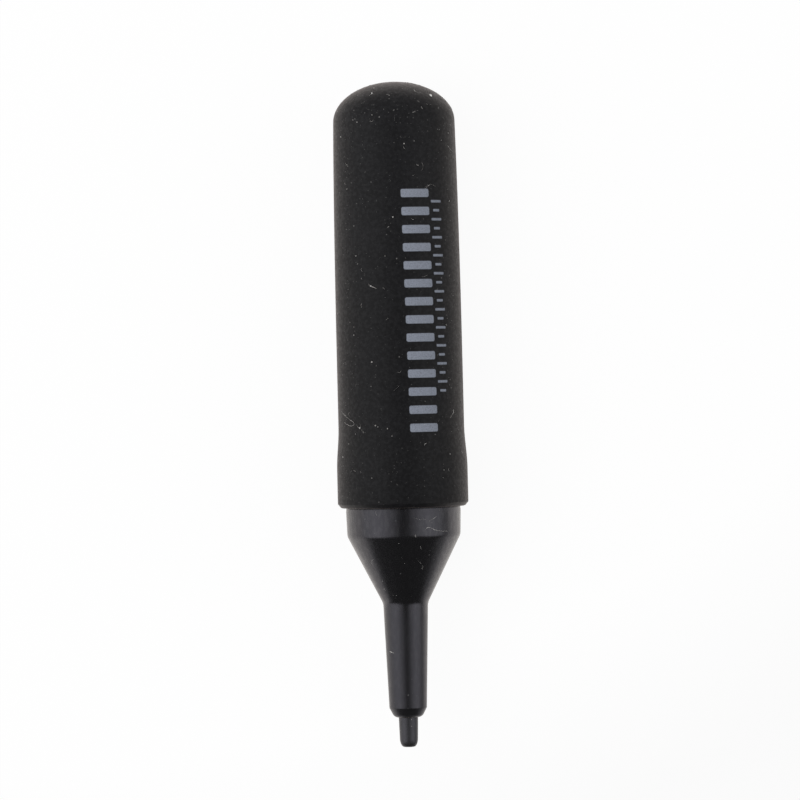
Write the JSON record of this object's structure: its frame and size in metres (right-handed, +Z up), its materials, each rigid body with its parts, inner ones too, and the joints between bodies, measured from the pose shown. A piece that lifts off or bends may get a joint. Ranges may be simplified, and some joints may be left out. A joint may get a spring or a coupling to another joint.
{
  "type": "squeeze-bulb vacuum pick-up pen",
  "caption": "Hand vacuum pick-up pen: a soft round-ended squeeze bulb stretched over a hollow moulded nozzle that tapers through a cone and stem to a tip with a bore for a suction probe.",
  "frame": {"origin": "on the surface that the pen lies on, under the middle of its length", "axes": "+Y along the pen's axis from the tip to the crown of the bulb, +Z up, +X to the right when seen from above with the bulb away"},
  "size_m": [0.0216, 0.11, 0.0216],
  "materials": {
    "bulb_rubber": "matte moulded rubber, dusty, with a printed row of plain bars",
    "nozzle_plastic": "satin moulded plastic"
  },
  "bodies": {
    "root": {"squeeze_bulb": "bulb_rubber", "nozzle": "nozzle_plastic"}
  },
  "joints": []
}
